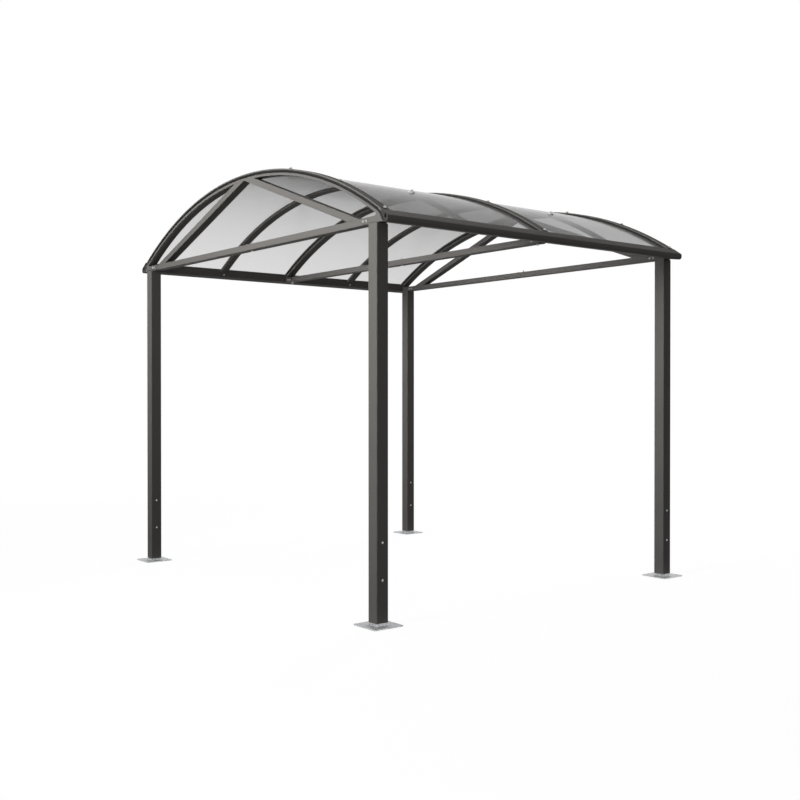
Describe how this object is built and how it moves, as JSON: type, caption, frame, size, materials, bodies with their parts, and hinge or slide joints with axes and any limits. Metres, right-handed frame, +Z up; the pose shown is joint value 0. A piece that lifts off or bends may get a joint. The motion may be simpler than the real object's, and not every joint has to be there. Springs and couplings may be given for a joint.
{
  "type": "open carport",
  "caption": "Open carport: square posts on base plates, tubular gable frames and a curved translucent sheet roof held by cover strips between tubular eave beams.",
  "frame": {"origin": "on the ground, midway between the four posts", "axes": "+X to the right across the width, +Y from the front to the rear, +Z up"},
  "size_m": [3.128, 2.712, 2.7288],
  "materials": {
    "coated_aluminium": "satin powder coat, warm dark grey",
    "galvanised_steel": "hot-dip galvanised",
    "end_cap_plastic": "fine matt texture",
    "polycarbonate": "smooth, smoke-grey and translucent"
  },
  "bodies": {
    "root": {"foot_front_left": "galvanised_steel", "foot_front_right": "galvanised_steel", "foot_rear_left": "galvanised_steel", "foot_rear_right": "galvanised_steel", "post_front_left": "coated_aluminium", "post_front_right": "coated_aluminium", "post_rear_left": "coated_aluminium", "post_rear_right": "coated_aluminium", "tie_front_left": "coated_aluminium", "tie_front_right": "coated_aluminium", "tie_middle_left": "coated_aluminium", "tie_middle_right": "coated_aluminium", "tie_rear_left": "coated_aluminium", "tie_rear_right": "coated_aluminium", "rafter_front_left": "coated_aluminium", "rafter_front_right": "coated_aluminium", "rafter_rear_left": "coated_aluminium", "rafter_rear_right": "coated_aluminium", "corner_plate_front_left": "coated_aluminium", "corner_plate_front_right": "coated_aluminium", "corner_plate_rear_left": "coated_aluminium", "corner_plate_rear_right": "coated_aluminium", "middle_plate_left": "coated_aluminium", "middle_plate_right": "coated_aluminium", "arch_front": "coated_aluminium", "arch_second": "coated_aluminium", "arch_middle": "coated_aluminium", "arch_fourth": "coated_aluminium", "arch_rear": "coated_aluminium", "roof_sheet_front": "polycarbonate", "roof_sheet_rear": "polycarbonate", "cover_strip_front": "coated_aluminium", "cover_strip_middle": "coated_aluminium", "cover_strip_rear": "coated_aluminium", "eave_beam_left": "coated_aluminium", "eave_beam_right": "coated_aluminium", "eave_cap_front_left": "end_cap_plastic", "eave_cap_front_right": "end_cap_plastic", "eave_cap_rear_left": "end_cap_plastic", "eave_cap_rear_right": "end_cap_plastic"}
  },
  "joints": []
}
